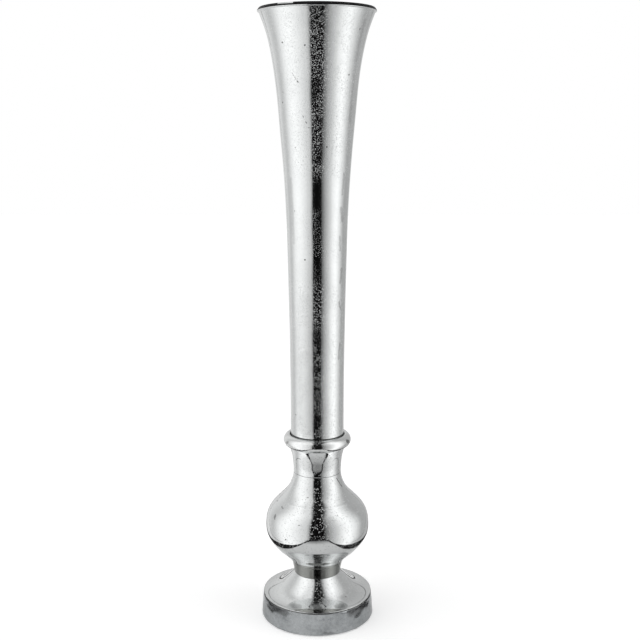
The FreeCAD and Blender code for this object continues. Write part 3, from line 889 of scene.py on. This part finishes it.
# The lip's bevelled top is painted near black under a thin gloss: a painted dark reflection of the dark
# overhead.
lip_painted_dark, tree, output = new_material("lip_painted_dark")
skin = skin_node(tree, skin_group)
lip_dark_colour = tinted(tree, skin, (0.006, 0.006, 0.006), (0.016, 0.016, 0.017))
shader = add(tree, "BsdfPrincipled", Base_Color=lip_dark_colour, Specular_IOR_Level=0.04,
             Roughness=ramp(tree, skin.outputs["Dull"], 0.0, 1.0, 0.35, 0.6, False))
tree.links.new(shader.outputs[0], output.inputs["Surface"])
for metal in (satin_metal, inside_metal, lip_painted_dark):
    trumpet_casting.data.materials.append(metal)
row_height = trumpet_rows[:, 1:]
column_angle = np.degrees(np.arange(trumpet_columns) * (2 * math.pi / trumpet_columns)) - 360
is_inside = np.arange(len(trumpet_rows)) >= len(trumpet_rows) - len(inner_flare) - inner_tube_rows - foot_rows
is_lip = (row_height >= bevel_foot) & (np.roll(row_height, -1) >= bevel_foot)
in_glint_gap = (row_height > lip_glint_gap_foot) & (column_angle > lip_glint_gap[0]) & (column_angle < lip_glint_gap[1])
# The lip takes the painted dark reflection, all but the glint gap, which stays bare outside metal.
finish = np.where(is_lip & ~in_glint_gap, 2, np.where(is_inside[:, None] & ~in_glint_gap, 1, 0))
trumpet_casting.data.polygons.foreach_set("material_index", finish.astype(np.int32).ravel())
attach(trumpet_casting, "trumpet")
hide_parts("trumpet_shell")

# ---------------------------------------------------------------- tie rod
# Bought M12 threaded rod, zinc plated, that clamps the whole pedestal between its two nuts.
# The thread is rolled, so its crests are a little rounded.
rod_foot = 7.5
rod_head = 340.5
rod_radius = 6.0
rod_chamfer = 1.0
thread_pitch = 1.75
thread_depth = 1.07
thread_steps = 8
rod_columns = 24
thread_flank = 1.25
thread_edge_angle = 60.0
weld_distance = 0.001


def threaded_rod():
    """Right-hand thread: the radius at angle a and height z is the rod's less a groove.

    The groove is depth (1 - min(1, flank |2 f - 1|)), where f is the broken part of
    z / pitch - a / (2 pi). It eases off over the chamfers, and both ends close on the axis.
    """
    count = int((rod_head - rod_foot) / thread_pitch * thread_steps)
    z = np.linspace(rod_foot, rod_head, count)
    edge = np.minimum(z - rod_foot, rod_head - z)
    outer = rod_radius - np.clip(rod_chamfer - edge, 0, rod_chamfer)
    angle = np.arange(rod_columns) * (2 * math.pi / rod_columns)
    share = (z[:, None] / thread_pitch - angle / (2 * math.pi)) % 1.0
    groove = thread_depth * (1 - np.clip(thread_flank * np.abs(2 * share - 1), 0, 1))
    radius = outer[:, None] - groove * np.clip(edge / rod_chamfer, 0, 1)[:, None]
    radius = np.concatenate([np.zeros((1, rod_columns)), radius, np.zeros((1, rod_columns))])
    z = np.concatenate([[rod_foot], z, [rod_head]])[:, None] + np.zeros(rod_columns)
    points = np.stack([radius * np.cos(angle), radius * np.sin(angle), z], -1) * mm
    quads = ring_faces(len(z) - 1, len(z), rod_columns)
    made = put_mesh("threaded_rod", points, quads, thread_edge_angle)
    soup = bmesh.new()
    soup.from_mesh(made.data)
    bmesh.ops.remove_doubles(soup, verts=soup.verts, dist=weld_distance * mm)
    soup.to_mesh(made.data)
    soup.free()
    return made


def plated_skin():
    """Group for zinc plate: a fine spangle of crystals, and dull stains from handling."""
    group, given, given_out = group_shell("plated_skin", [("Spangle Scale", 900)], ["Height", "Tone", "Dull"])
    place = add(group, "TexCoord").outputs["Object"]
    crystals = add(group, "TexVoronoi", Vector=place, Scale=given.outputs["Spangle Scale"], Randomness=1.0)
    spangle = add(group, "SeparateColor", Color=crystals.outputs["Color"]).outputs[0]
    stains = ramp(group, noise(group, place, 90.0, 4.0, Roughness=0.65), 0.42, 0.66)
    give(group, given_out, Height=maths(group, "MULTIPLY", crystals.outputs["Distance"], 0.01),
         Tone=weighed(group, spangle, 0.3, stains), Dull=stains)
    return group


plated_group = plated_skin()


def plated_metal(name, light, dark, gloss):
    """Zinc-plated steel. Gloss is the roughness of its clean and of its stained places."""
    made, tree, output = new_material(name)
    skin = skin_node(tree, plated_group)
    metal_shader(tree, output, skin, tinted(tree, skin, light, dark), skin.outputs["Dull"], gloss)
    return made


rod_thread = threaded_rod()
zinc = plated_metal("zinc_plate", (0.66, 0.67, 0.69), (0.42, 0.43, 0.45), (0.22, 0.45))
rod_thread.data.materials.append(zinc)
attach(rod_thread, "pedestal")
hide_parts("tie_rod")

# ---------------------------------------------------------------- nuts and washers
# Hexagon nuts, plain washers and the split spring washer, bought zinc plated like the rod.
# The nuts are a shade yellower, being from another plating bath.


def dress(node, finish):
    """Gives a CAD node's object a finish of its own, in every slot."""
    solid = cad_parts[node]
    if not solid.material_slots:
        solid.data.materials.append(None)
    for place in solid.material_slots:
        place.link = "OBJECT"
        place.material = finish


nut_zinc = plated_metal("nut_zinc_plate", (0.68, 0.67, 0.62), (0.46, 0.45, 0.41), (0.20, 0.42))
for node in ("base_washer", "lock_washer", "deck_washer"):
    dress(node, zinc)
for node in ("base_nut", "deck_nut"):
    dress(node, nut_zinc)

# ---------------------------------------------------------------- plinth ribs
# Six straight ribs in the hollow under the plinth, cast with it, that carry the clamp's load
# from the boss out to the rim.
rib_count = 6
rib_half_width = 2.5
rib_from = 23.5
rib_to = 77.8
rib_foot = 19.0
rib_head = 30.2
rib_break = 0.8
rib_steps = 12
rib_corners = 4


def rib_boxes():
    """Long boxes from the boss to the rim, one each sixth of a turn, with sections every step.

    Section k of a rib stands at radius from + (to - from) k / steps, and its four corners
    turn by the rib's own angle.
    """
    reach = np.linspace(rib_from, rib_to, rib_steps + 1)
    across = np.array([-rib_half_width, rib_half_width, rib_half_width, -rib_half_width])
    height = np.array([rib_foot, rib_foot, rib_head, rib_head])
    turn = np.arange(rib_count) * (2 * math.pi / rib_count)
    turn, out, side = turn[:, None, None], reach[None, :, None], across[None, None, :]
    x = out * np.cos(turn) - side * np.sin(turn)
    y = out * np.sin(turn) + side * np.cos(turn)
    points = np.stack([x, y, np.broadcast_to(height, x.shape)], -1) * mm
    per_rib = (rib_steps + 1) * rib_corners
    walls = ring_faces(rib_steps, rib_steps + 1, rib_corners)[:, ::-1]
    ends = np.array([[0, 1, 2, 3], [per_rib - 1, per_rib - 2, per_rib - 3, per_rib - 4]])
    quads = np.concatenate([walls, ends])[None] + (np.arange(rib_count) * per_rib)[:, None, None]
    return put_mesh("plinth_ribs", points, quads, edge_angle)


ribs = rib_boxes()
rounding = ribs.modifiers.new("broken_edges", "BEVEL")
rounding.width = rib_break * mm
rounding.segments = 2
rounding.limit_method = "ANGLE"
ribs.data.materials.append(rough_metal)
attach(ribs, "pedestal")

# ---------------------------------------------------------------- felt pads
# Four discs of pressed grey wool felt, glued under the plinth so that it doesn't mark the
# table. The fibres lie every way and catch lint.
felt, tree, output = new_material("pressed_felt")
place = add(tree, "TexCoord").outputs["Object"]
fibres = noise(tree, place, 1400.0, 5.0, Roughness=0.7, Distortion=2.5)
matting = noise(tree, place, 160.0, 3.0)
wool = add(tree, "MixRGB", Fac=ramp(tree, fibres, 0.35, 0.65), Color1=(0.055, 0.055, 0.06, 1),
           Color2=(0.14, 0.14, 0.15, 1))
lint = add(tree, "MixRGB", Fac=ramp(tree, matting, 0.62, 0.72, 0.0, 0.5), Color1=wool.outputs[0],
           Color2=(0.22, 0.21, 0.20, 1))
nap = add(tree, "Bump", Distance=mm, Height=maths(tree, "MULTIPLY", fibres, 0.35))
shader = add(tree, "BsdfPrincipled", Base_Color=lint.outputs[0], Roughness=0.95, Sheen_Weight=0.5,
             Normal=nap.outputs[0])
tree.links.new(shader.outputs[0], output.inputs["Surface"])
dress("felt_pads", felt)

# ---------------------------------------------------------------- seat washer
# Ring of red vulcanised fibre that the trumpet's foot tightens down on. It is punched from
# sheet, so its faces are smooth and mottled and its edge shows the layers.
fibre, tree, output = new_material("vulcanised_fibre")
place = add(tree, "TexCoord").outputs["Object"]
mottle = noise(tree, place, 120.0, 5.0, Roughness=0.6)
layers = noise(tree, add(tree, "Mapping", Vector=place, Scale=(60, 60, 4000)).outputs[0], 1.0, 1.0)
mixed = weighed(tree, mottle, 0.7, layers)
red = add(tree, "MixRGB", Fac=ramp(tree, mixed, 0.35, 0.65), Color1=(0.46, 0.17, 0.11, 1),
          Color2=(0.33, 0.12, 0.085, 1))
rise = add(tree, "Bump", Distance=mm, Height=maths(tree, "MULTIPLY", layers, 0.05))
shader = add(tree, "BsdfPrincipled", Base_Color=red.outputs[0],
             Roughness=ramp(tree, mottle, 0.3, 0.7, 0.5, 0.68), Normal=rise.outputs[0])
tree.links.new(shader.outputs[0], output.inputs["Surface"])
dress("seat_washer", fibre)

# ---------------------------------------------------------------- thread insert and floor
# Blind bush turned from brass bar, pressed into the turned aluminium plug that closes the
# tube. Both keep the lathe's tool rings.
brass = turned_metal("turned_brass", (0.78, 0.62, 0.32), (0.58, 0.43, 0.20), (0.20, 0.34), (1800, 0.01))
plug_metal = turned_metal("turned_plug", (0.60, 0.60, 0.59), (0.44, 0.445, 0.44), (0.22, 0.36), (1400, 0.01))
dress("thread_insert", brass)
dress("trumpet_floor", plug_metal)
